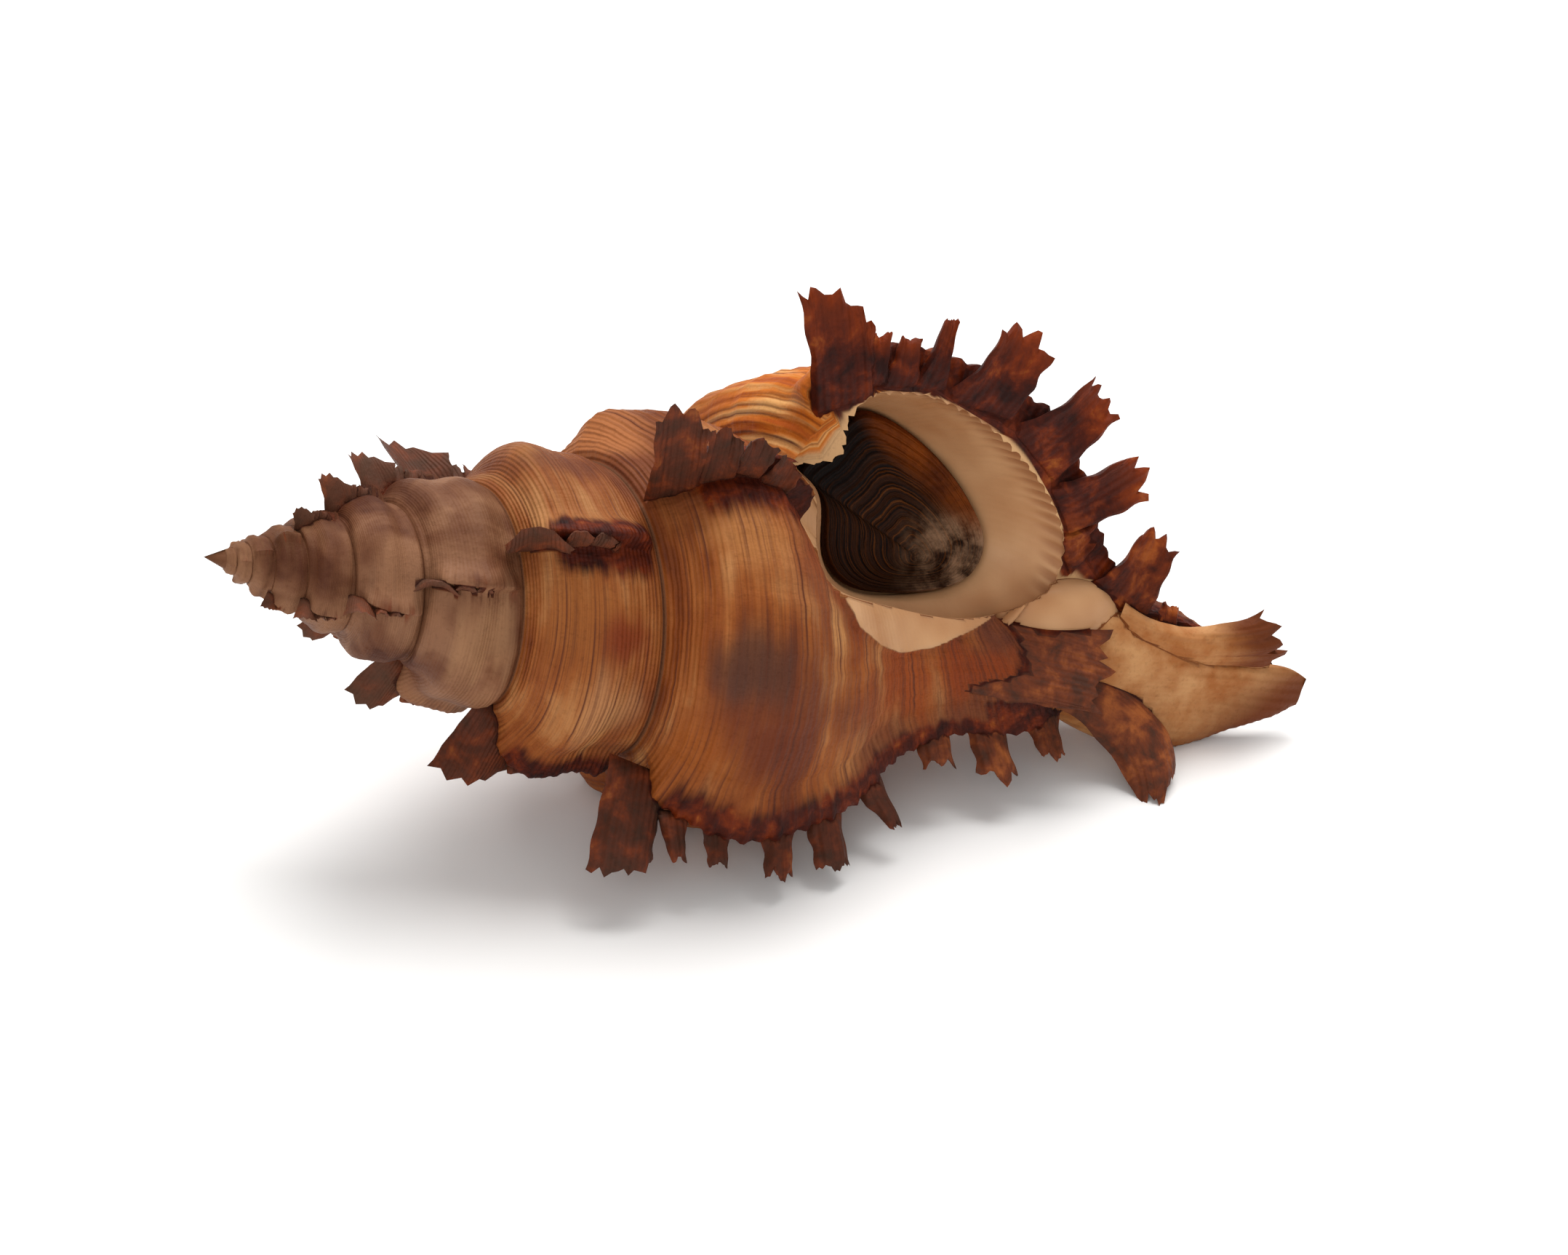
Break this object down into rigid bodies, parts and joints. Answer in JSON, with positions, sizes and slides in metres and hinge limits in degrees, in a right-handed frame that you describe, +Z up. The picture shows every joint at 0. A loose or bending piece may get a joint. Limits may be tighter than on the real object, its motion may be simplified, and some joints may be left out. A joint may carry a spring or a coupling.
{
  "type": "murex shell",
  "caption": "Spiral sea shell with fronded ridges, a wide mouth closed by a horny plate and a tapering canal, lying on its side.",
  "frame": {"origin": "centre of the bounding box on the surface that the shell lies on", "axes": "+X runs from the apex to the tip of the siphonal canal, +Z is up, and the mouth faces -Y"},
  "size_m": [0.0704, 0.0288, 0.0328],
  "materials": {
    "shell": "matt, orange brown with dark brown fronds and a cream mouth",
    "operculum": "horny dark brown, with low growth lines"
  },
  "bodies": {
    "root": {"shell": "shell", "operculum": "operculum"}
  },
  "joints": []
}
